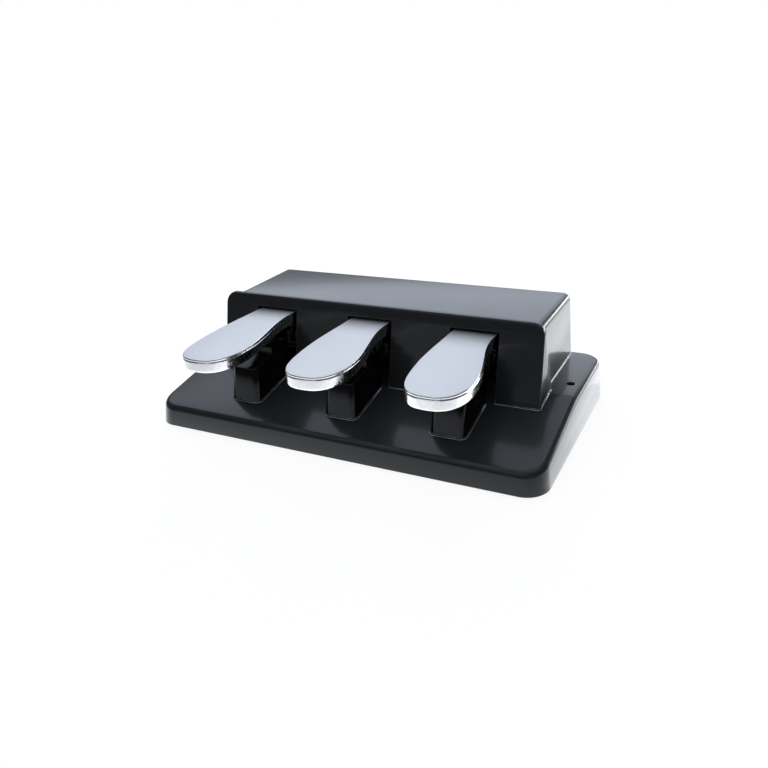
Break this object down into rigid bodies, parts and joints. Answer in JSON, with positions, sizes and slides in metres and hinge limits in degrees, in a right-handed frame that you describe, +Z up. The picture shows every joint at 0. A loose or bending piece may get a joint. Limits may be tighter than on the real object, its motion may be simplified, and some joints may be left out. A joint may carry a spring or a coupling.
{
  "type": "triple pedal unit",
  "caption": "Floor unit with long metal foot pedals that stand out over a low black base and pivot inside a box-shaped housing; for a digital piano.",
  "frame": {"origin": "middle of the footprint of the whole unit, pedals included, on the surface that the rubber feet stand on", "axes": "+X to the right as the player sees it, +Y away from the player, +Z up"},
  "size_m": [0.34, 0.233, 0.0951],
  "materials": {
    "satin_black": "satin, finely grained",
    "gloss_black": "glossy",
    "inner_black": "plain",
    "satin_metal": "satin plated",
    "zinc_steel": "zinc plated",
    "bright_steel": "ground bright",
    "screw_steel": "zinc plated",
    "black_plate": "black powder coat",
    "spring_steel": "bright wire",
    "nickel": "nickel plated",
    "nylon": "black nylon",
    "rubber": "matt",
    "felt": "felt",
    "board_black": "black solder mask",
    "brass": "plain"
  },
  "bodies": {
    "housing": {"base_shell": "satin_black", "bottom_plate": "black_plate", "housing_cover": "satin_black", "front_fascia": "satin_black", "pivot_chassis": "black_plate", "stop_rail": "black_plate", "stop_felts": "felt", "pivot_shaft": "bright_steel", "shaft_sleeves": "nylon", "shaft_clips": "screw_steel", "circuit_board": "board_black", "board_spacers": "brass", "board_connector": "nylon", "sensor_lead": "inner_black", "output_jack": "inner_black", "jack_nut": "nickel", "rubber_feet": "rubber", "base_screws": "screw_steel", "housing_screws": "screw_steel", "fascia_screws": "screw_steel", "block_screws": "screw_steel", "chassis_screws": "screw_steel", "return_spring_left": "spring_steel", "return_spring_centre": "spring_steel", "return_spring_right": "spring_steel", "stop_block_left": "gloss_black", "stop_block_centre": "gloss_black", "stop_block_right": "gloss_black", "stop_bumper_left": "rubber", "stop_bumper_centre": "rubber", "stop_bumper_right": "rubber", "optical_sensor_left": "inner_black", "optical_sensor_centre": "inner_black", "optical_sensor_right": "inner_black"},
    "left_pedal": {"pedal_left": "satin_metal", "lever_left": "zinc_steel", "bushes_left": "nylon", "lever_screws_left": "screw_steel", "sensor_flag_left": "inner_black"},
    "centre_pedal": {"pedal_centre": "satin_metal", "lever_centre": "zinc_steel", "bushes_centre": "nylon", "lever_screws_centre": "screw_steel", "sensor_flag_centre": "inner_black"},
    "right_pedal": {"pedal_right": "satin_metal", "lever_right": "zinc_steel", "bushes_right": "nylon", "lever_screws_right": "screw_steel", "sensor_flag_right": "inner_black"}
  },
  "joints": [
    {"name": "left_pedal_pivot", "type": "hinge", "parent": "housing", "child": "left_pedal", "pos_m": [-0.09, 0.0765, 0.0745], "axis": [1, 0, 0], "range_deg": [0, 5], "stiffness_Nm_per_rad": 23, "springref_deg": -5.16, "deforming": ["return_spring_left"]},
    {"name": "centre_pedal_pivot", "type": "hinge", "parent": "housing", "child": "centre_pedal", "pos_m": [0, 0.0765, 0.0745], "axis": [1, 0, 0], "range_deg": [0, 5], "stiffness_Nm_per_rad": 23, "springref_deg": -5.16, "deforming": ["return_spring_centre"]},
    {"name": "right_pedal_pivot", "type": "hinge", "parent": "housing", "child": "right_pedal", "pos_m": [0.09, 0.0765, 0.0745], "axis": [1, 0, 0], "range_deg": [0, 5], "stiffness_Nm_per_rad": 23, "springref_deg": -5.16, "deforming": ["return_spring_right"]}
  ]
}
